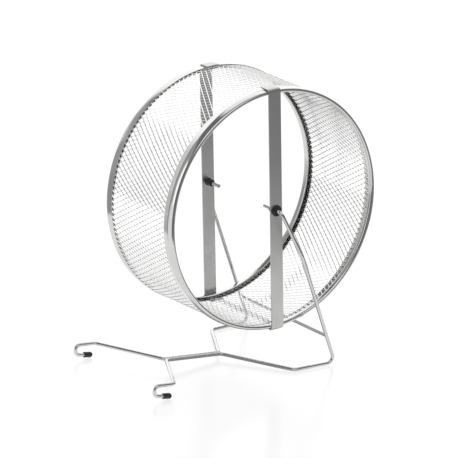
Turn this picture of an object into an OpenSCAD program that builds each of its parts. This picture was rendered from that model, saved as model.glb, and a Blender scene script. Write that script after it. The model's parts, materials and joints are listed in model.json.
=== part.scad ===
// Rodent exercise wheel: an expanded-metal running band between two rolled
// rims, turning on the pins of a bent-wire stand that hooks into a cage.
// X runs along the stand with the hooks at -X, Y is the axle and Z is up.
// Z = 0 is the surface that the stand rests on, and the front is at -Y.

/* [Wheel] */
// Diameter over the rolled rims
wheel_d = 200; // [170:1:260]
// Width over the two rims
wheel_w = 93; // [76:1:130]
// Space between the wheel and the surface under it
ground_gap = 34; // [30:1:60]
// How far the wheel has turned from upright, in degrees
rest_turn = 2.8; // [0:0.1:30]

/* [Rolled rims] */
// Thickness of the rim sheet
rim_t = 0.8; // [0.5:0.1:1]
// Height of the rolled edge, from its outside towards the axle
roll_h = 4; // [3.6:0.1:5]
// Width of the front rim's rolled edge along the axle
front_roll_w = 5.5; // [5:0.1:8]
// Width of the rear rim's rolled edge along the axle
rear_roll_w = 7.6; // [5:0.1:9]
// Width of the front rim's flat flange, behind its step
front_flange_w = 5.8; // [1:0.1:10]
// Width of the rear rim's flat flange, which has none and ends at its step
rear_flange_w = 0; // [0:0.1:8]
// How far the flange lies below the rolled edge
flange_drop = 0.5; // [0.2:0.1:0.7]
// Width of the step between the rolled edge and the flange
step_w = 0.7; // [0.5:0.1:1.5]
// How far the rolled edge turns back towards the mesh, in degrees
roll_return = 45; // [20:1:60]

/* [Running mesh] */
// Thickness of the expanded metal
mesh_t = 0.8; // [0.5:0.1:1]
// Width of one strand
strand_w = 1.3; // [0.8:0.1:2]
// Number of diamonds round the wheel
mesh_around = 64; // [48:16:96]
// Number of diamonds across the wheel
mesh_across = 5; // [3:1:7]
// How far the mesh reaches into the narrower rolled edge
mesh_tuck = 1.5; // [1:0.1:2.2]
// Gap between the mesh and the step that it is welded to
mesh_gap = 0.05; // [0.02:0.01:0.2]
// Hairline between two arcs of the mesh
arc_gap = 0.02; // [0.01:0.01:0.05]

/* [Crossbars] */
// Width of a crossbar strip
bar_w = 11.5; // [10:0.1:16]
// Thickness of a crossbar strip
bar_t = 1; // [0.6:0.1:1.6]
// Length of the tab that is folded over the rim, from the strip's face
tab_len = 11; // [8:0.5:14]
// Gap between a crossbar and the rim that it is folded over
bar_gap = 0.05; // [0.02:0.01:0.2]

/* [Bushings] */
// Diameter of the bushing's flange
bush_flange_d = 8.8; // [8.2:0.1:9.8]
// Thickness of the bushing's flange
bush_flange_t = 1.2; // [0.8:0.1:2]
// Diameter of the bushing's barrel
bush_d = 5.6; // [5.2:0.1:6]
// Diameter of the snap ring that holds the bushing in its strip
bush_snap_d = 6.6; // [6.4:0.1:7.4]
// Length of the snap ring along the barrel
bush_snap_len = 2; // [1:0.1:3]
// Length of the barrel inside the wheel
bush_inner = 5.4; // [4:0.1:9]
// Running clearance round the axle pin, on the radius
bush_play = 0.08; // [0.03:0.01:0.1]
// Clearance between the barrel and the hole in its strip, on the radius
bush_fit = 0.03; // [0.02:0.01:0.1]

/* [Stand wire] */
// Diameter of the stand wire
wire_d = 3; // [2.5:0.1:3.4]
// Radius of the bends, at the middle of the wire
bend_r = 5; // [4.5:0.1:7]
// Radius of the soft bend halfway down a leg
knee_r = 14; // [8:1:24]
// How far the axle pins reach into the wheel past the crossbars
pin_reach = 15; // [9:0.5:20]
// Play between a bushing's flange and the bend of the wire
end_play = 0.4; // [0.2:0.1:1.5]
// How far out the legs spread below the axle
leg_spread = 5.6; // [3:0.1:12]
// Distance of the leg's knee from the axle, along the stand
knee_x = 18; // [10:0.5:28]
// Distance of the leg's knee below the axle
knee_drop = 38; // [28:0.5:50]
// Distance of the leg's foot from the axle, along the stand
foot_x = 54; // [46:0.5:70]
// Distance of the inward bend of the base from the axle
base_x = 14.7; // [5:0.1:24]
// How far the inward bend of the base stands in from the leg
base_inset = 1.8; // [0:0.1:6]
// Start of the spine, measured back from the axle
spine_start = 17.8; // [14:0.1:28]
// End of the spine, measured back from the axle
spine_end = 71.7; // [55:0.1:80]
// Gap between the two wires of the spine, closed by their welds
weld_gap = 0.04; // [0.02:0.01:0.1]

/* [Hooks] */
// Tip of a hook, measured back from the axle
hook_tip_x = 121.9; // [112:0.1:135]
// Length of a hook, from its outward bend to its tip
hook_len = 20.2; // [19:0.1:26]
// How far a hook stands in from its leg
hook_inset = 2.8; // [0:0.1:8]
// Height of the wire's middle at the top of a hook
hook_top = 12.8; // [12:0.1:16]
// Height between the two runs of a hook, from middle to middle
hook_open = 8.4; // [8:0.1:9.5]
// Outer diameter of a rubber cap
cap_d = 4.6; // [4.2:0.1:5]
// Length of a rubber cap
cap_len = 8; // [7:0.1:10]
// How far a cap is pushed onto its wire
cap_grip = 6; // [4:0.1:6.5]
// Middle of the cap's round end, measured from the hook's tip
cap_inset = 15.2; // [14.5:0.1:18]
// Clearance between the cap's bore and the wire, on the radius
cap_fit = 0.02; // [0.01:0.01:0.05]

/* [Leg brace] */
// Height of the brace above the surface
brace_z = 25.6; // [18:0.1:31]
// Gap between the brace and the legs that it is welded to
brace_gap = 0.04; // [0.02:0.01:0.1]

/* [Hidden] */
round_fn = 96;
wire_fn = 48;
slack = 1;
front = -1;
rear = 1;

// The wheel
wheel_r = wheel_d / 2;
hub_z = ground_gap + wheel_r + bar_gap + bar_t;
rim_face = wheel_w / 2;
roll_r = roll_h / 2;
roll_front = rim_face - roll_r;
flange_r = wheel_r - flange_drop;

// The running mesh: flat facets, one diamond wide, in arcs that stand end to end
mesh_arcs = 16;
cell_turn = 360 / mesh_around;
cells_per_arc = mesh_around / mesh_arcs;
mesh_outside = (flange_r - rim_t - mesh_gap) * cos(cell_turn / 2);
mesh_middle = mesh_outside - mesh_t / 2;
mesh_half_w = rim_face - min(front_roll_w, rear_roll_w) + mesh_tuck;
cell_w = 2 * mesh_middle * tan(cell_turn / 2);
cell_len = 2 * mesh_half_w / mesh_across;
cell_half_h = cell_w * cell_len / 4 / norm([cell_w / 2, cell_len / 2]);
opening_share = 1 - strand_w / 2 / cell_half_h;

// The crossbars and their bushings
bar_back = rim_face + bar_gap;
bar_face = bar_back + bar_t;
fold_in_r = roll_r + bar_gap;
bush_face = bar_face + bush_flange_t;
bush_bore_d = wire_d + 2 * bush_play;

// The stand
wire_r = wire_d / 2;
cap_r = cap_d / 2;
leg_top_y = bush_face + end_play + bend_r;
leg_y = leg_top_y + leg_spread;
base_y = leg_y - base_inset;
hook_y = leg_y - hook_inset;
spine_y = wire_r + weld_gap / 2;
pin_y = bar_back - pin_reach;
knee_z = hub_z - knee_drop;
hook_x = hook_tip_x - hook_len;
hook_turn_x = hook_tip_x - wire_r;
hook_low = hook_top - hook_open;
hook_turn_r = 0.48 * hook_open;
base_rise = (hook_top - wire_r) / (base_x + hook_turn_x);
brace_x = knee_x + (foot_x - knee_x) * (knee_z - brace_z) / (knee_z - wire_r);

// The origin lies under the middle of the whole length
shift_x = (hook_tip_x - wheel_r) / 2;

// The cap lies along the hook's lower run, and its round end touches the surface
hook_corner = [-hook_turn_x, hook_y, hook_low];
cap_middle = [-hook_tip_x + cap_inset, hook_y, cap_r];
cap_line = unit(cap_middle - hook_corner);
cap_start = cap_middle - cap_line * (cap_len - cap_r);
wire_end = cap_start + cap_line * cap_grip;

function unit(v) = v / norm(v);
function base_z(x) = wire_r + (base_x - x) * base_rise;

// Corners of the wire's middle line on the rear side, from the axle pin's
// free end to the end inside the cap, each with the radius of its bend
wire_path = [
    [[0, pin_y, hub_z], 0],
    [[0, leg_top_y, hub_z], bend_r],
    [[knee_x, leg_y, knee_z], knee_r],
    [[foot_x, leg_y, wire_r], bend_r],
    [[base_x, base_y, wire_r], bend_r],
    [[-spine_start, spine_y, base_z(-spine_start)], bend_r],
    [[-spine_end, spine_y, base_z(-spine_end)], bend_r],
    [[-hook_x, hook_y, base_z(-hook_x)], bend_r],
    [[-hook_turn_x, hook_y, hook_top], hook_turn_r],
    [hook_corner, hook_turn_r],
    [wire_end, 0]
];

// Length that a bend of radius r takes from the straights u and v beside it
function bend_take(u, v, r) = r * tan(acos(u * v) / 2);

// Puts what is drawn up the Z axis on the line from a towards b
module along(a, b) {
    v = unit(b - a);
    translate(a)
        rotate([0, acos(v[2]), atan2(v[1], v[0])])
            children();
}

// Round bar from a to b
module straight(a, b, d) {
    along(a, b)
        cylinder(d = d, h = norm(b - a), $fn = wire_fn);
}

// Round bar bent from direction u to direction v round the corner p
module bend(p, u, v, r, d) {
    axis = unit(cross(u, v));
    out = cross(u, axis);
    middle = p - u * bend_take(u, v, r) - out * r;
    multmatrix([[out[0], u[0], axis[0], middle[0]],
                [out[1], u[1], axis[1], middle[1]],
                [out[2], u[2], axis[2], middle[2]],
                [0, 0, 0, 1]])
        rotate_extrude(angle = acos(u * v), $fn = round_fn)
            translate([r, 0])
                circle(d = d, $fn = wire_fn);
}

module bent_wire(path, d) {
    last = len(path) - 1;
    p = [for (corner = path) corner[0]];
    r = [for (corner = path) corner[1]];
    way = [for (i = [1:last]) unit(p[i] - p[i - 1])];
    take = [for (i = [0:last])
        i == 0 || i == last ? 0 : bend_take(way[i - 1], way[i], r[i])];
    union() {
        for (i = [1:last])
            straight(p[i - 1] + way[i - 1] * take[i - 1], p[i] - way[i - 1] * take[i], d);
        for (i = [1:last - 1])
            bend(p[i], way[i - 1], way[i], r[i], d);
    }
}

// Puts what is drawn for the rear side of the stand on the given side
module stand_side(side) {
    translate([shift_x, 0, 0])
        mirror([0, side == front ? 1 : 0, 0])
            children();
}

module stand_wire(side) {
    color("silver")
        stand_side(side)
            bent_wire(wire_path, wire_d);
}

// A straight wire whose ends are hollowed to sit against the legs
module leg_brace() {
    knee = [knee_x, leg_y, knee_z];
    foot = [foot_x, leg_y, wire_r];
    half = leg_y - wire_r / 2;
    color("silver")
        difference() {
            stand_side(rear)
                straight([brace_x, -half, brace_z], [brace_x, half, brace_z], wire_d);
            for (side = [front, rear])
                stand_side(side)
                    straight(knee, foot, wire_d + 2 * brace_gap);
        }
}

// Section of a cap, with its blind bore: the radius runs along X
module cap_section() {
    round_start = cap_len - cap_r;
    difference() {
        union() {
            square([cap_r, round_start]);
            intersection() {
                translate([0, round_start])
                    circle(d = cap_d, $fn = wire_fn);
                square([cap_r, cap_len]);
            }
        }
        translate([-slack, -slack])
            square([wire_r + cap_fit + slack, cap_grip + cap_fit + slack]);
    }
}

// Rubber cap with a round end, pushed onto the end of the hook
module hook_cap(side) {
    color("dimgray")
        stand_side(side)
            along(cap_start, cap_middle)
                rotate_extrude($fn = wire_fn)
                    cap_section();
}

// Puts what is drawn round the Z axis onto the axle, with +Z facing outwards
module on_axle(side) {
    translate([shift_x, 0, hub_z])
        rotate([0, -rest_turn, 0])
            rotate([-90 * side, 0, 0])
                children();
}

// Outline of the rolled edge: the radius runs along X and the axle along Y
module roll_outline(r, roll_back) {
    translate([wheel_r - roll_r, roll_front])
        circle(r = r, $fn = round_fn);
    translate([wheel_r - roll_r, roll_back])
        circle(r = r, $fn = round_fn);
    translate([wheel_r - roll_r - r, roll_back])
        square([2 * r, roll_front - roll_back]);
}

// Section of the rolled edge, open at the back for the mesh
module roll_section(roll_w) {
    roll_back = rim_face - roll_w + roll_r;
    middle = [wheel_r - roll_r, roll_back];
    reach = 3 * roll_r;
    lip = 180 + roll_return;
    difference() {
        roll_outline(roll_r, roll_back);
        roll_outline(roll_r - rim_t, roll_back);
        polygon([middle,
                 middle + reach * [cos(lip), sin(lip)],
                 middle + reach * [0, -1],
                 middle + reach * [1, -1],
                 middle + reach * [1, 0]]);
    }
}

// Section of the roll's outer wall, the step behind it and any flat flange
module flange_section(roll_w, flange_w) {
    step = rim_face - roll_w;
    foot = step - step_w;
    flange = flange_w == 0 ? [] : [
        [flange_r, foot - flange_w],
        [flange_r - rim_t, foot - flange_w]
    ];
    polygon(concat(
        [[wheel_r - rim_t, roll_front], [wheel_r, roll_front], [wheel_r, step], [flange_r, foot]],
        flange,
        [[flange_r - rim_t, foot], [wheel_r - rim_t, step]]));
}

module rim(side, roll_w, flange_w) {
    color("silver")
        on_axle(side)
            union() {
                rotate_extrude($fn = round_fn)
                    roll_section(roll_w);
                rotate_extrude($fn = round_fn)
                    flange_section(roll_w, flange_w);
            }
}

// One diamond of the mesh, cut radially at a turn round the axle
module diamond(turn, along) {
    half = opening_share / 2;
    depth = mesh_t + 2 * slack;
    rotate([0, 0, turn])
        translate([mesh_middle - depth / 2, 0, along])
            rotate([90, 0, 90])
                linear_extrude(height = depth)
                    polygon([[-cell_w * half, 0],
                             [0, -cell_len * half],
                             [cell_w * half, 0],
                             [0, cell_len * half]]);
}

// A length of the mesh: its facets, and the two staggered sets of diamonds
module mesh_arc() {
    inside = mesh_outside - mesh_t;
    corner = 1 / cos(cell_turn / 2);
    turns = [for (i = [0:cells_per_arc]) i * cell_turn];
    back = [for (i = [0:cells_per_arc]) (cells_per_arc - i) * cell_turn];
    difference() {
        translate([0, 0, -mesh_half_w])
            linear_extrude(height = 2 * mesh_half_w)
                polygon(concat(
                    [for (a = turns) mesh_outside * corner * [cos(a), sin(a)]],
                    [for (a = back) inside * corner * [cos(a), sin(a)]]));
        for (i = [0:cells_per_arc - 1], j = [0:mesh_across - 1])
            diamond((i + 0.5) * cell_turn, (j + 0.5) * cell_len - mesh_half_w);
        for (i = [0:cells_per_arc], j = [0:mesh_across])
            diamond(i * cell_turn, j * cell_len - mesh_half_w);
        translate([0, -arc_gap, -wheel_w])
            cube([wheel_d, 2 * arc_gap, 2 * wheel_w]);
    }
}

module running_mesh() {
    color("lightgray")
        on_axle(rear)
            for (i = [0:mesh_arcs - 1])
                rotate([0, 0, i * 360 / mesh_arcs])
                    mesh_arc();
}

// Section of a crossbar's fold over the roll, and of its tab
module fold_section() {
    middle = [wheel_r - roll_r, roll_front];
    reach = 2 * (fold_in_r + bar_t);
    difference() {
        intersection() {
            translate(middle)
                circle(r = fold_in_r + bar_t, $fn = round_fn);
            translate(middle)
                square(reach);
        }
        translate(middle)
            circle(r = fold_in_r, $fn = round_fn);
    }
    translate([wheel_r + bar_gap, bar_face - tab_len])
        square([bar_t, roll_front - bar_face + tab_len]);
}

// A strip across the rim, folded over it at both ends, with a bushing hole
module crossbar(side) {
    color("darkgray")
        on_axle(side)
            difference() {
                union() {
                    intersection() {
                        translate([-bar_w / 2, -wheel_r, bar_back])
                            cube([bar_w, 2 * wheel_r, bar_t]);
                        cylinder(r = wheel_r - roll_r, h = wheel_w, $fn = round_fn);
                    }
                    intersection() {
                        rotate_extrude($fn = round_fn)
                            fold_section();
                        translate([-bar_w / 2, -2 * wheel_r, 0])
                            cube([bar_w, 4 * wheel_r, wheel_w]);
                    }
                }
                translate([0, 0, bar_back - slack])
                    cylinder(d = bush_d + 2 * bush_fit, h = bar_t + 2 * slack,
                             $fn = wire_fn);
            }
}

// Flanged bushing that snaps into the crossbar's hole
module bushing(side) {
    snap_top = bar_back - bar_gap;
    inner_end = bar_back - bush_inner;
    color("dimgray")
        on_axle(side)
            difference() {
                union() {
                    translate([0, 0, bar_face])
                        cylinder(d = bush_flange_d, h = bush_flange_t, $fn = wire_fn);
                    translate([0, 0, inner_end])
                        cylinder(d = bush_d, h = bar_face - inner_end, $fn = wire_fn);
                    translate([0, 0, snap_top - bush_snap_len])
                        cylinder(d1 = bush_d, d2 = bush_snap_d, h = bush_snap_len,
                                 $fn = wire_fn);
                }
                translate([0, 0, inner_end - slack])
                    cylinder(d = bush_bore_d, h = bush_face - inner_end + 2 * slack,
                             $fn = wire_fn);
            }
}

module front_rim() { rim(front, front_roll_w, front_flange_w); }
module rear_rim() { rim(rear, rear_roll_w, rear_flange_w); }
module front_crossbar() { crossbar(front); }
module rear_crossbar() { crossbar(rear); }
module front_bushing() { bushing(front); }
module rear_bushing() { bushing(rear); }
module front_stand_wire() { stand_wire(front); }
module rear_stand_wire() { stand_wire(rear); }
module front_hook_cap() { hook_cap(front); }
module rear_hook_cap() { hook_cap(rear); }

front_rim();
rear_rim();
running_mesh();
front_crossbar();
rear_crossbar();
front_bushing();
rear_bushing();
front_stand_wire();
rear_stand_wire();
leg_brace();
front_hook_cap();
rear_hook_cap();
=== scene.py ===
# Rodent exercise wheel: a diamond-mesh band between two rolled steel rims, on a
# bent-wire stand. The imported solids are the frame, and the looks are built on them.
import json
import math
import bpy
import bmesh
from mathutils import Matrix, Vector


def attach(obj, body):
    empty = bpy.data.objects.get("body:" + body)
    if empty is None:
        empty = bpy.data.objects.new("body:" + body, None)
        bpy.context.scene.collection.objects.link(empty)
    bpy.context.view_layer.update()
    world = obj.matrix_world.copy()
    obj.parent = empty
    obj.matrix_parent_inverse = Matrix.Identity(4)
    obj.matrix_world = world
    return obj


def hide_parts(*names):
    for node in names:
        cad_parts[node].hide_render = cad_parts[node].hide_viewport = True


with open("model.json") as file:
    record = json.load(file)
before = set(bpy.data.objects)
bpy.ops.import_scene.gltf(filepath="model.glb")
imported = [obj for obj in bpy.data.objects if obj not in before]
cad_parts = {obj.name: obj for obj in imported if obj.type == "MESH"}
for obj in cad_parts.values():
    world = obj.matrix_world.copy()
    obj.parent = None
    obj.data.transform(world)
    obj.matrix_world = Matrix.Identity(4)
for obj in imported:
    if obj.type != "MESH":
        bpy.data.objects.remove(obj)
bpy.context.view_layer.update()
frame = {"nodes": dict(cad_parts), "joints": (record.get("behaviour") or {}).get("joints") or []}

# Stand wires and brace
# Two mirrored lengths of 3 mm drawn steel wire, each bent cold into pin, leg, base and
# hook, and a straight wire welded between the legs. All of it is plated bright.
WIRE_COLOUR = (0.64, 0.64, 0.635, 1)
WIRE_ROUGHNESS = 0.13
SMEAR_SCALE = 38.0
SMEARED_TINT = 0.92
SHARP_EDGE = math.radians(32)


def noise_field(links, nodes, scale, detail):
    """Noise over the piece itself."""
    place = nodes.new("ShaderNodeTexCoord")
    noise = nodes.new("ShaderNodeTexNoise")
    noise.inputs["Scale"].default_value = scale
    noise.inputs["Detail"].default_value = detail
    links.new(place.outputs["Object"], noise.inputs["Vector"])
    return noise.outputs["Fac"]


def handled_group():
    """Shine and tint as they vary over handled bright metal, with faint smears."""
    group = bpy.data.node_groups.new("handled_metal", "ShaderNodeTree")
    sockets = group.interface
    for name, low, high, start in (
        ("Shine", 0.0, 1.0, 0.15),
        ("Smear", 0.0, 1.0, 0.06),
        ("Grain Scale", 1.0, 9000.0, 900.0),
    ):
        socket = sockets.new_socket(name, in_out="INPUT", socket_type="NodeSocketFloat")
        socket.min_value, socket.max_value, socket.default_value = low, high, start
    colour = sockets.new_socket("Metal", in_out="INPUT", socket_type="NodeSocketColor")
    colour.default_value = (0.8, 0.8, 0.8, 1)
    sockets.new_socket("Colour", in_out="OUTPUT", socket_type="NodeSocketColor")
    sockets.new_socket("Roughness", in_out="OUTPUT", socket_type="NodeSocketFloat")
    sockets.new_socket("Height", in_out="OUTPUT", socket_type="NodeSocketFloat")
    nodes, links = group.nodes, group.links
    inputs = nodes.new("NodeGroupInput")
    outputs = nodes.new("NodeGroupOutput")
    smears = noise_field(links, nodes, SMEAR_SCALE, detail=3.0)
    place = nodes.new("ShaderNodeTexCoord")
    grain = nodes.new("ShaderNodeTexNoise")
    grain.inputs["Detail"].default_value = 1.0
    links.new(place.outputs["Object"], grain.inputs["Vector"])
    links.new(inputs.outputs["Grain Scale"], grain.inputs["Scale"])
    spread = nodes.new("ShaderNodeMath")
    spread.operation = "MULTIPLY_ADD"
    links.new(smears, spread.inputs[0])
    links.new(inputs.outputs["Smear"], spread.inputs[1])
    links.new(inputs.outputs["Shine"], spread.inputs[2])
    links.new(spread.outputs[0], outputs.inputs["Roughness"])
    dull = nodes.new("ShaderNodeMapRange")
    dull.inputs["From Min"].default_value = 0.35
    dull.inputs["From Max"].default_value = 0.75
    dull.inputs["To Min"].default_value = 1.0
    dull.inputs["To Max"].default_value = SMEARED_TINT
    links.new(smears, dull.inputs["Value"])
    tint = nodes.new("ShaderNodeVectorMath")
    tint.operation = "SCALE"
    links.new(inputs.outputs["Metal"], tint.inputs[0])
    links.new(dull.outputs["Result"], tint.inputs["Scale"])
    links.new(tint.outputs["Vector"], outputs.inputs["Colour"])
    links.new(grain.outputs["Fac"], outputs.inputs["Height"])
    return group


HANDLED = handled_group()


def metal(name, colour, roughness, smear, grain_scale, grain_depth):
    """Bare or plated steel that varies a little in shine, tint and surface."""
    material = bpy.data.materials.new(name)
    material.use_nodes = True
    nodes, links = material.node_tree.nodes, material.node_tree.links
    shader = nodes["Principled BSDF"]
    shader.inputs["Metallic"].default_value = 1.0
    handled = nodes.new("ShaderNodeGroup")
    handled.name = "handled"
    handled.node_tree = HANDLED
    handled.inputs["Metal"].default_value = colour
    handled.inputs["Shine"].default_value = roughness
    handled.inputs["Smear"].default_value = smear
    handled.inputs["Grain Scale"].default_value = grain_scale
    bump = nodes.new("ShaderNodeBump")
    bump.inputs["Strength"].default_value = 0.25
    bump.inputs["Distance"].default_value = grain_depth
    links.new(handled.outputs["Colour"], shader.inputs["Base Color"])
    links.new(handled.outputs["Roughness"], shader.inputs["Roughness"])
    links.new(handled.outputs["Height"], bump.inputs["Height"])
    links.new(bump.outputs["Normal"], shader.inputs["Normal"])
    return material


def finish_node(node, material):
    """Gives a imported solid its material, and smooth shading between its real edges."""
    mesh = frame["nodes"][node].data
    mesh.materials.clear()
    mesh.materials.append(material)
    mesh.shade_smooth()
    mesh.set_sharp_from_angle(angle=SHARP_EDGE)


plated_wire = metal(
    "plated_wire", WIRE_COLOUR, WIRE_ROUGHNESS, smear=0.08, grain_scale=2500, grain_depth=0.00001
)
for wire in ("front_stand_wire", "rear_stand_wire", "leg_brace"):
    finish_node(wire, plated_wire)

# Hook caps
# Black rubber caps with a round end, dipped and pushed onto the ends of the hooks so
# that they grip the cage and spare the surface under them.
RUBBER_COLOUR = (0.012, 0.012, 0.012, 1)
RUBBER_ROUGHNESS = 0.5


def black_moulding(name, colour, roughness, grain_scale, grain_depth):
    """Black rubber or plastic with a fine moulded skin."""
    material = bpy.data.materials.new(name)
    material.use_nodes = True
    nodes, links = material.node_tree.nodes, material.node_tree.links
    shader = nodes["Principled BSDF"]
    shader.inputs["Base Color"].default_value = colour
    skin = noise_field(links, nodes, grain_scale, detail=2.0)
    worn = nodes.new("ShaderNodeMapRange")
    worn.inputs["To Min"].default_value = roughness - 0.06
    worn.inputs["To Max"].default_value = roughness + 0.08
    bump = nodes.new("ShaderNodeBump")
    bump.inputs["Strength"].default_value = 0.3
    bump.inputs["Distance"].default_value = grain_depth
    links.new(skin, worn.inputs["Value"])
    links.new(worn.outputs["Result"], shader.inputs["Roughness"])
    links.new(skin, bump.inputs["Height"])
    links.new(bump.outputs["Normal"], shader.inputs["Normal"])
    return material


cap_rubber = black_moulding(
    "cap_rubber", RUBBER_COLOUR, RUBBER_ROUGHNESS, grain_scale=1800, grain_depth=0.00003
)
for cap in ("front_hook_cap", "rear_hook_cap"):
    finish_node(cap, cap_rubber)

# Rims
# Steel strip rolled into a hem that curls back inside the wheel. The front one has a
# step and a tapered flange behind its crowned hem, and the rear one only a flat wall.
RIM_COLOUR = (0.67, 0.67, 0.665, 1)
RIM_ROUGHNESS = 0.09
MM = 0.001
HUB = Vector(frame["joints"][0]["pos_m"])
RIM_FACE = 46.5
RIM_RADIUS = 100
RIM_SHEET = 0.5
RIM_STEPS = 256
BUTT_GAP = 0.22


def arc(middle_w, middle_r, radius, start, end, steps):
    """Points of an arc, by the angle that its outside faces: 0 is away from the axle,
    90 is towards the open face and 180 is towards the axle."""
    line = []
    for i in range(steps + 1):
        facing = math.radians(start + (end - start) * i / steps)
        line.append((middle_w - radius * math.sin(facing), middle_r + radius * math.cos(facing)))
    return line


def curve(start, end, slope, steps):
    """Points of a wall that leaves `start` at one slope and flattens towards `end`."""
    width = end[0] - start[0]
    bulge = slope * width - (end[1] - start[1])
    line = []
    for i in range(1, steps + 1):
        t = i / steps
        line.append((start[0] + width * t, start[1] + slope * width * t - bulge * t * t))
    return line


def inner_side(line):
    """The sheet's other side, one thickness behind the outside."""
    other = []
    last = len(line) - 1
    for i, (w, r) in enumerate(line):
        before, after = line[max(0, i - 1)], line[min(last, i + 1)]
        along_w, along_r = after[0] - before[0], after[1] - before[1]
        reach = RIM_SHEET / math.hypot(along_w, along_r)
        other.append((w + along_r * reach, r - along_w * reach))
    return other


def front_section():
    """The front rim's sheet, from its lip to the flange's edge, as its outside and its
    inside: the distance from the open face and the radius, in millimetres."""
    lip = arc(3.5, 97.68, 1.68, 225, 180, 5)
    bead = arc(1.68, 97.68, 1.68, 180, 13, 18)
    crown = curve(bead[-1], (5.2, 99.85), math.tan(math.radians(13)), 7)
    groove = [(5.3, 99.6), (5.4, 99.2), (5.55, 99.2), (5.95, 99.72)]
    flange = [(6.15, 99.7), (6.4, 99.67), (9.0, 99.34), (12.0, 98.95)]
    hem = lip + bead + crown
    inside = inner_side(hem) + [(5.9, 98.75), (6.4, 99.1), (9.0, 98.84), (12.0, 98.45)]
    return hem + groove + flange, inside


def rear_section():
    """The rear rim's sheet, in the same way. It has a flat wall behind its hem."""
    lip = arc(5.29, 98.0, 2.0, 225, 180, 5)
    bead = arc(2.0, 98.0, 2.0, 180, 0, 20)
    sheet = lip + bead + [(4.0, 100.0), (6.0, 100.0), (8.2, 99.95)]
    return sheet, inner_side(sheet)


def rolled_rim(section, way, butt_angle):
    """Turns the sheet round the axle, from one side of its butt joint to the other."""
    outside, inside = section
    ring = outside + inside[::-1]
    half_gap = BUTT_GAP / 2 / RIM_RADIUS
    points, faces = [], []
    for i in range(RIM_STEPS + 1):
        turn = math.radians(butt_angle) + half_gap + (2 * math.pi - 2 * half_gap) * i / RIM_STEPS
        for w, r in ring:
            points.append((
                HUB.x - r * MM * math.sin(turn),
                way * (RIM_FACE - w) * MM,
                HUB.z + r * MM * math.cos(turn),
            ))
    size = len(ring)
    for i in range(RIM_STEPS):
        for j in range(size):
            k = (j + 1) % size
            faces.append((i * size + j, i * size + k, (i + 1) * size + k, (i + 1) * size + j))
    faces.append(tuple(range(size)))
    faces.append(tuple(RIM_STEPS * size + j for j in reversed(range(size))))
    return points, faces


def mesh_piece(name, points, faces, material, body, marks=None):
    """A new piece of the object, with outward faces, that rides on its body. `marks` is
    a named value for each corner of each face."""
    mesh = bpy.data.meshes.new(name)
    mesh.from_pydata(points, [], faces)
    for mark, values in (marks or {}).items():
        mesh.attributes.new(mark, "FLOAT", "CORNER").data.foreach_set("value", values)
    shape = bmesh.new()
    shape.from_mesh(mesh)
    bmesh.ops.recalc_face_normals(shape, faces=shape.faces)
    shape.to_mesh(mesh)
    shape.free()
    mesh.materials.append(material)
    piece = bpy.data.objects.new(name, mesh)
    bpy.context.scene.collection.objects.link(piece)
    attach(piece, body)
    return piece


rim_steel = metal(
    "rim_steel", RIM_COLOUR, RIM_ROUGHNESS, smear=0.06, grain_scale=1800, grain_depth=0.000006
)
for name, node, section, way, butt_angle in (
    ("rolled_front_rim", "front_rim", front_section(), -1, 84.0),
    ("rolled_rear_rim", "rear_rim", rear_section(), 1, 214.0),
):
    points, faces = rolled_rim(section, way, butt_angle)
    rim = mesh_piece(name, points, faces, rim_steel, "wheel")
    rim.data.shade_smooth()
    rim.data.set_sharp_from_angle(angle=SHARP_EDGE)
    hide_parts(node)

# Running band
# One strip of fine expanded steel, each bond tilted as the slit sheet is pulled open.
# It is rolled up with its ends lapped at the bottom, and is darker there. Along its
# rear edge, where it lies under the rim's wall, it carries painted shade.
STRAND_COLOUR = (0.96, 0.96, 0.955, 1)
# The bonds' dark colour is painted shade at the knuckles.
BOND_SHADE_COLOUR = (0.12, 0.12, 0.12, 1)
STRAND_METAL = 0.60
BOND_METAL = 0.95
MESH_ROUGHNESS = 0.10
DIAMONDS_ROUND = 144
DIAMONDS_ACROSS = 11
MESH_RADIUS = 98.5 * MM
MESH_FLARE = 0.62 * MM
FLARE_REACH = 36 * MM
MESH_WIDTH = 85.0 * MM
MESH_SHEET = 0.4 * MM
BOND_HALF_ROUND = 0.37 * MM
BOND_HALF_ACROSS = 0.57 * MM
BOND_LIFT = 0.40 * MM
BOND_CORNER = 0.8
# Painted shade along the rear edge, where the mesh lies under the rim's wall, and darker lapped rows.
SHADED_REAR_EDGE = 3.9 * MM
EDGE_SHADE_AND_LAP_DARKENING = 1.0
LAP_CELLS = 2
LAP_DROP = 0.75 * MM
SEAM_ANGLE = 180.3


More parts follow.
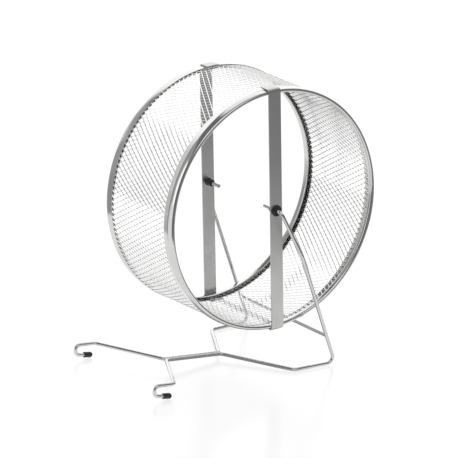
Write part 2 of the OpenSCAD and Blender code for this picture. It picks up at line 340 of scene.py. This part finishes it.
def running_band():
    """The lattice: each bond is a small diamond round its middle, and each strand runs
    from the high side of one bond to the low side of the next."""
    pitch = 2 * math.pi / DIAMONDS_ROUND
    columns = 2 * DIAMONDS_ACROSS
    step_across = MESH_WIDTH / columns
    rows = DIAMONDS_ROUND + LAP_CELLS
    edge = MESH_WIDTH / 2
    half_round = BOND_HALF_ROUND / (MESH_RADIUS * pitch)
    points, faces, masks = [], [], []

    def drop(row):
        """How far the last rows step in, to lie inside the first ones."""
        down = max(0.0, (row - DIAMONDS_ROUND + 1.5) / (LAP_CELLS + 1.0))
        return LAP_DROP * min(1.0, down)

    def corner(row, across, lift):
        """A point on the outside of the sheet and the one behind it."""
        turn = math.radians(SEAM_ANGLE) + row * pitch
        pair = []
        for side in (0.5, -0.5):
            flare = MESH_FLARE * max(-1.0, min(1.0, across / FLARE_REACH))
            radius = MESH_RADIUS + flare - drop(row) + lift + side * MESH_SHEET
            points.append((
                HUB.x - radius * math.sin(turn),
                max(-edge, min(edge, across)),
                HUB.z + radius * math.cos(turn),
            ))
            pair.append(len(points) - 1)
        return pair

    bonds = {}
    for column in range(columns + 1):
        across = -edge + column * step_across
        for row in range(rows):
            at = row + 0.5 * (column % 2)
            bonds[row, column] = {
                "middle": corner(at, across, 0.0),
                "high": corner(at + half_round, across, BOND_LIFT),
                "low": corner(at - half_round, across, -BOND_LIFT),
                "left": corner(at, across - BOND_HALF_ACROSS, 0.0),
                "right": corner(at, across + BOND_HALF_ACROSS, 0.0),
            }

    def edge_shade_and_lap_darkening(row, across):
        """A strand's marks: it carries the bonds' painted shade along the rear edge, under the rim's
        wall, and is as dark in the lapped rows.
        """
        shaded_or_lapped = edge - across < SHADED_REAR_EDGE or row >= DIAMONDS_ROUND
        return [EDGE_SHADE_AND_LAP_DARKENING if shaded_or_lapped else 0.0] * 4

    def plate(ring, mask):
        """Both faces of one bit of the sheet."""
        faces.append([pair[0] for pair in ring])
        masks.append(mask)
        faces.append([pair[1] for pair in ring][::-1])
        masks.append(mask[::-1])

    def wall(first, second):
        """The cut side of a strand, through the sheet."""
        faces.append([first[0], first[1], second[1], second[0]])
        masks.append([0.0] * 4)

    for (row, column), bond in bonds.items():
        sides = [bond[side] for side in ("left", "low", "right", "high")]
        for i in range(4):
            # Each bond carries painted shade, darkest at its middle.
            plate([bond["middle"], sides[i], sides[(i + 1) % 4]], [1.0, BOND_CORNER, BOND_CORNER])
        if column == columns:
            continue
        middle = (column + 0.5) * step_across - edge
        up = bonds.get((row + column % 2, column + 1))
        if up:
            plate([bond["high"], bond["right"], up["low"], up["left"]], edge_shade_and_lap_darkening(row, middle))
            wall(bond["high"], up["left"])
            wall(up["low"], bond["right"])
        down = bonds.get((row - 1 + column % 2, column + 1))
        if down:
            plate([bond["right"], bond["low"], down["left"], down["high"]], edge_shade_and_lap_darkening(row, middle))
            wall(bond["right"], down["high"])
            wall(down["left"], bond["low"])
    return points, faces, masks


def mesh_material():
    """Bright drawn strands, and bonds darkened with painted shade at the knuckles; the same painted
    shade lies along the rear edge, and the lapped rows are as dark.
    """
    material = metal(
        "mesh_steel", STRAND_COLOUR, MESH_ROUGHNESS, smear=0.04, grain_scale=1500, grain_depth=0.000006
    )
    nodes, links = material.node_tree.nodes, material.node_tree.links
    shader = nodes["Principled BSDF"]
    # The bond mark sets where the painted shade goes.
    bond = nodes.new("ShaderNodeAttribute")
    bond.attribute_name = "bond"
    tint = nodes.new("ShaderNodeMix")
    tint.data_type = "RGBA"
    tint.inputs["A"].default_value = STRAND_COLOUR
    tint.inputs["B"].default_value = BOND_SHADE_COLOUR
    plate = nodes.new("ShaderNodeMapRange")
    plate.inputs["To Min"].default_value = STRAND_METAL
    plate.inputs["To Max"].default_value = BOND_METAL
    links.new(bond.outputs["Fac"], tint.inputs["Factor"])
    links.new(bond.outputs["Fac"], plate.inputs["Value"])
    links.new(tint.outputs["Result"], nodes["handled"].inputs["Metal"])
    links.new(plate.outputs["Result"], shader.inputs["Metallic"])
    return material


points, faces, masks = running_band()
bond_shade_marks = {"bond": [value for mask in masks for value in mask]}
band = mesh_piece("running_band", points, faces, mesh_material(), "wheel", bond_shade_marks)
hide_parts("running_mesh")

# Crossbars
# Satin steel strips, folded over the rims at both ends, that carry the bushings.
STRIP_COLOUR = (0.58, 0.58, 0.575, 1)
STRIP_ROUGHNESS = 0.30

strip_steel = metal(
    "strip_steel", STRIP_COLOUR, STRIP_ROUGHNESS, smear=0.08, grain_scale=1200, grain_depth=0.00001
)
for strip in ("front_crossbar", "rear_crossbar"):
    finish_node(strip, strip_steel)

# Bushings
# Black plastic, snapped into the crossbars from outside. The wire's pins run in them.
BUSHING_COLOUR = (0.010, 0.010, 0.010, 1)
BUSHING_ROUGHNESS = 0.28

bushing_plastic = black_moulding(
    "bushing_plastic", BUSHING_COLOUR, BUSHING_ROUGHNESS, grain_scale=900, grain_depth=0.00002
)
for bushing in ("front_bushing", "rear_bushing"):
    finish_node(bushing, bushing_plastic)

# Table
# A satin white table. It shows the object's soft shadow and a blurred reflection of
# it. The metal sees it as bright only as far as its lit part reaches, and right under
# the wheel as darker, with painted shade in place of the wheel's shadow.
TABLE_HALF = 9
TABLE_DROP = 0.0002
TABLE_LEVEL = 0.92
TABLE_REACH = 0.37
TABLE_FADE = 0.02
TABLE_NEAR = 1.0
# Painted shade on the table right under the wheel, as the metal sees it.
SHADED_TABLE_LEVEL = 0.35
SHADOW_REACH = (0.045, 0.085)
TABLE_SHADOW = 0.07
TABLE_SHEEN = 0.14
TABLE_BLUR = 0.24
# How bright what lies beyond is, by the way to it in degrees from +Y towards +X.
BEYOND_TABLE = (
    (-180, 0.19),
    (-100, 0.19),
    (-92, 1.0),
    (-54, 1.0),
    (-46, 0.36),
    (-36, 0.37),
    (-31, 0.66),
    (-25, 0.68),
    (-8, 1.0),
    (62, 1.0),
    (78, 0.19),
    (105, 0.28),
    (160, 0.28),
    (180, 0.19),
)


def add_math(nodes, links, operation, first, second):
    """One sum on two values, each a socket or a number."""
    node = nodes.new("ShaderNodeMath")
    node.operation = operation
    for socket, value in zip(node.inputs, (first, second)):
        if isinstance(value, (int, float)):
            socket.default_value = value
        else:
            links.new(value, socket)
    return node.outputs[0]


def table_material():
    """White to the camera, and as bright to the metal as its distance allows, with painted shade under
    the wheel.
    """
    material = bpy.data.materials.new("white_table")
    material.use_nodes = True
    material.cycles.emission_sampling = "NONE"
    nodes, links = material.node_tree.nodes, material.node_tree.links
    nodes.clear()
    out = nodes.new("ShaderNodeOutputMaterial")
    white = nodes.new("ShaderNodeEmission")
    matt = nodes.new("ShaderNodeBsdfDiffuse")
    matt.inputs["Color"].default_value = (1, 1, 1, 1)
    sheen = nodes.new("ShaderNodeBsdfGlossy")
    sheen.inputs["Color"].default_value = (1, 1, 1, 1)
    sheen.inputs["Roughness"].default_value = TABLE_BLUR
    shaded = nodes.new("ShaderNodeMixShader")
    shaded.inputs["Fac"].default_value = TABLE_SHADOW
    seen = nodes.new("ShaderNodeMixShader")
    seen.inputs["Fac"].default_value = TABLE_SHEEN
    links.new(white.outputs["Emission"], shaded.inputs[1])
    links.new(matt.outputs["BSDF"], shaded.inputs[2])
    links.new(shaded.outputs["Shader"], seen.inputs[1])
    links.new(sheen.outputs["BSDF"], seen.inputs[2])
    place = nodes.new("ShaderNodeTexCoord")
    length = nodes.new("ShaderNodeVectorMath")
    length.operation = "LENGTH"
    axes = nodes.new("ShaderNodeSeparateXYZ")
    links.new(place.outputs["Object"], length.inputs[0])
    links.new(place.outputs["Object"], axes.inputs["Vector"])
    turn = add_math(nodes, links, "ARCTAN2", axes.outputs["X"], axes.outputs["Y"])
    share = nodes.new("ShaderNodeMapRange")
    share.inputs["From Min"].default_value = -math.pi
    share.inputs["From Max"].default_value = math.pi
    links.new(turn, share.inputs["Value"])
    far = nodes.new("ShaderNodeValToRGB")
    stops = far.color_ramp.elements
    while len(stops) < len(BEYOND_TABLE):
        stops.new(0.5)
    for stop, (degrees, level) in zip(stops, BEYOND_TABLE):
        stop.position = (degrees + 180) / 360
        stop.color = (level, level, level, 1)
    links.new(share.outputs["Result"], far.inputs["Fac"])
    fade = nodes.new("ShaderNodeMapRange")
    fade.interpolation_type = "SMOOTHSTEP"
    fade.inputs["From Min"].default_value = TABLE_REACH - TABLE_FADE
    fade.inputs["From Max"].default_value = TABLE_REACH + TABLE_FADE
    fade.inputs["To Min"].default_value = TABLE_NEAR
    links.new(length.outputs["Value"], fade.inputs["Value"])
    links.new(far.outputs["Color"], fade.inputs["To Max"])
    # Painted shade: the metal sees the table darker right under the wheel.
    under = nodes.new("ShaderNodeMapRange")
    under.interpolation_type = "SMOOTHSTEP"
    under.inputs["From Min"].default_value = SHADOW_REACH[0]
    under.inputs["From Max"].default_value = SHADOW_REACH[1]
    under.inputs["To Min"].default_value = SHADED_TABLE_LEVEL
    links.new(length.outputs["Value"], under.inputs["Value"])
    shine = add_math(nodes, links, "MULTIPLY", fade.outputs["Result"], under.outputs["Result"])
    ray = nodes.new("ShaderNodeLightPath")
    level = nodes.new("ShaderNodeMix")
    level.inputs["A"].default_value = TABLE_LEVEL
    links.new(ray.outputs["Is Glossy Ray"], level.inputs["Factor"])
    links.new(shine, level.inputs["B"])
    lit = nodes.new("ShaderNodeEmission")
    links.new(level.outputs["Result"], lit.inputs["Strength"])
    mix = nodes.new("ShaderNodeMixShader")
    links.new(ray.outputs["Is Camera Ray"], mix.inputs["Fac"])
    links.new(lit.outputs["Emission"], mix.inputs[1])
    links.new(seen.outputs["Shader"], mix.inputs[2])
    links.new(mix.outputs["Shader"], out.inputs["Surface"])
    return material


table_corners = [
    (side * TABLE_HALF, end * TABLE_HALF, 0)
    for side, end in ((-1, -1), (1, -1), (1, 1), (-1, 1))
]
table_mesh = bpy.data.meshes.new("table")
table_mesh.from_pydata(table_corners, [], [(0, 1, 2, 3)])
table_mesh.materials.append(table_material())
table = bpy.data.objects.new("table", table_mesh)
table.location = (0, 0, -TABLE_DROP)
bpy.context.scene.collection.objects.link(table)

# Room and lights
# Plain white light all round for every colour. In its place the shiny metal sees a dim
# room with a white backdrop, a wall and a soft light on the left, one high on the right
# and one above the camera. Their edges are in degrees from the way that they face.
ROOM_DIM = 0.19
PANELS = {
    "backdrop": {
        "turn": 15, "rise": 0, "lean": 19, "left": -25, "right": 58, "low": -45, "high": 41.9,
        "blur across": 0.36, "blur up": 0.04, "level": 1.4,
    },
    "backdrop_edge": {
        "turn": 15, "rise": 0, "lean": 19, "left": -41.5, "right": 58, "low": -45, "high": 41.9,
        "blur across": 0.06, "blur up": 0.04, "level": 0.80,
    },
    "left_wall": {
        "turn": -40, "rise": 0, "lean": 0, "left": -30, "right": 35, "low": -30, "high": 40,
        "blur across": 0.10, "blur up": 0.05, "level": 0.42,
    },
    "left_light": {
        "turn": -72, "rise": 12, "lean": 0, "left": -8, "right": 18, "low": -20, "high": 20,
        "blur across": 0.06, "blur up": 0.06, "level": 1.5,
    },
    "right_ceiling": {
        "turn": 52, "rise": 45, "lean": 0, "left": -35, "right": 35, "low": -28, "high": 30,
        "blur across": 0.15, "blur up": 0.15, "level": 1.2,
    },
    "top_light": {
        "turn": -155, "rise": 52, "lean": 0, "left": -36, "right": 24, "low": -20, "high": 18,
        "blur across": 0.10, "blur up": 0.10, "level": 1.3,
    },
}


def soft_panel_group():
    """How much of one bright panel shows in a direction: its edges are given as
    tangents of the angle from the way that it faces."""
    group = bpy.data.node_groups.new("soft_panel", "ShaderNodeTree")
    for name in ("Way", "Side", "Up"):
        group.interface.new_socket(name, in_out="INPUT", socket_type="NodeSocketVector")
    for name in ("Left", "Right", "Low", "High", "Blur Across", "Blur Up", "Level"):
        group.interface.new_socket(name, in_out="INPUT", socket_type="NodeSocketFloat")
    group.interface.new_socket("Shows", in_out="OUTPUT", socket_type="NodeSocketFloat")
    nodes, links = group.nodes, group.links
    inputs = nodes.new("NodeGroupInput").outputs
    outputs = nodes.new("NodeGroupOutput").inputs
    place = nodes.new("ShaderNodeTexCoord")

    def along(axis):
        """How far the direction goes along one of the panel's axes."""
        dot = nodes.new("ShaderNodeVectorMath")
        dot.operation = "DOT_PRODUCT"
        links.new(place.outputs["Generated"], dot.inputs[0])
        links.new(inputs[axis], dot.inputs[1])
        return dot.outputs["Value"]

    def past(value, edge, blur):
        """0 before the edge and 1 beyond it, with a soft step between."""
        step = nodes.new("ShaderNodeMapRange")
        step.interpolation_type = "SMOOTHSTEP"
        start = add_math(nodes, links, "SUBTRACT", inputs[edge], inputs[blur])
        end = add_math(nodes, links, "ADD", inputs[edge], inputs[blur])
        links.new(value, step.inputs["Value"])
        links.new(start, step.inputs["From Min"])
        links.new(end, step.inputs["From Max"])
        return step.outputs["Result"]

    ahead = along("Way")
    before = add_math(nodes, links, "MAXIMUM", ahead, 0.001)
    across = add_math(nodes, links, "DIVIDE", along("Side"), before)
    height = add_math(nodes, links, "DIVIDE", along("Up"), before)
    edges = [
        past(value, edge, blur)
        for value, edge, blur in (
            (across, "Left", "Blur Across"),
            (across, "Right", "Blur Across"),
            (height, "Low", "Blur Up"),
            (height, "High", "Blur Up"),
        )
    ]
    wide = add_math(nodes, links, "SUBTRACT", edges[0], edges[1])
    tall = add_math(nodes, links, "SUBTRACT", edges[2], edges[3])
    face = add_math(nodes, links, "MULTIPLY", wide, tall)
    in_front = add_math(nodes, links, "GREATER_THAN", ahead, 0.001)
    shows = add_math(nodes, links, "MULTIPLY", face, in_front)
    links.new(add_math(nodes, links, "MULTIPLY", shows, inputs["Level"]), outputs["Shows"])
    return group


def room_light():
    """White to the camera and to every matt colour, and the real room to the metal."""
    world = bpy.data.worlds.new("studio")
    bpy.context.scene.world = world
    world.use_nodes = True
    world.cycles.sampling_method = "NONE"
    nodes, links = world.node_tree.nodes, world.node_tree.links
    nodes.clear()
    out = nodes.new("ShaderNodeOutputWorld")
    group = soft_panel_group()
    total = ROOM_DIM
    for name, panel in PANELS.items():
        turn, rise = math.radians(panel["turn"]), math.radians(panel["rise"])
        light = nodes.new("ShaderNodeGroup")
        light.name = name
        light.node_tree = group
        way = Vector((math.sin(turn) * math.cos(rise), math.cos(turn) * math.cos(rise), math.sin(rise)))
        level = Vector((math.cos(turn), -math.sin(turn), 0))
        lean = Matrix.Rotation(math.radians(-panel["lean"]), 3, way)
        light.inputs["Way"].default_value = way
        light.inputs["Side"].default_value = lean @ level
        light.inputs["Up"].default_value = lean @ level.cross(way)
        for edge in ("left", "right", "low", "high"):
            light.inputs[edge.title()].default_value = math.tan(math.radians(panel[edge]))
        for value in ("blur across", "blur up", "level"):
            light.inputs[value.title()].default_value = panel[value]
        total = add_math(nodes, links, "MAXIMUM", total, light.outputs["Shows"])
    room = nodes.new("ShaderNodeBackground")
    white = nodes.new("ShaderNodeBackground")
    for background in (room, white):
        background.inputs["Color"].default_value = (1, 1, 1, 1)
    ray = nodes.new("ShaderNodeLightPath")
    mix = nodes.new("ShaderNodeMixShader")
    links.new(total, room.inputs["Strength"])
    links.new(ray.outputs["Is Glossy Ray"], mix.inputs["Fac"])
    links.new(white.outputs["Background"], mix.inputs[1])
    links.new(room.outputs["Background"], mix.inputs[2])
    links.new(mix.outputs["Shader"], out.inputs["Surface"])


room_light()

# Camera
# A long lens from the front left, a little above the wheel.
CAMERA_SPOT = (-1.5281, -2.1272, 0.9277)
CAMERA_TURN = -35.681
CAMERA_DIP = 17.362
CAMERA_ROLL = 1.390
LENS = 268.13
SENSOR = 36.0

turn, dip, roll = (math.radians(v) for v in (CAMERA_TURN, CAMERA_DIP, CAMERA_ROLL))
ahead = Vector((-math.sin(turn) * math.cos(dip), math.cos(turn) * math.cos(dip), -math.sin(dip)))
level = Vector((math.cos(turn), math.sin(turn), 0))
upward = level.cross(ahead)
right = level * math.cos(roll) + upward * math.sin(roll)
upright = upward * math.cos(roll) - level * math.sin(roll)
lens = bpy.data.cameras.new("camera")
lens.lens = LENS
lens.sensor_width = SENSOR
lens.clip_start = 0.1
lens.clip_end = 40
camera = bpy.data.objects.new("camera", lens)
aim = Matrix((right, upright, -ahead)).transposed().to_4x4()
camera.matrix_world = Matrix.Translation(CAMERA_SPOT) @ aim
bpy.context.scene.collection.objects.link(camera)
bpy.context.scene.camera = camera

scene = bpy.context.scene
scene.view_settings.view_transform = "Standard"
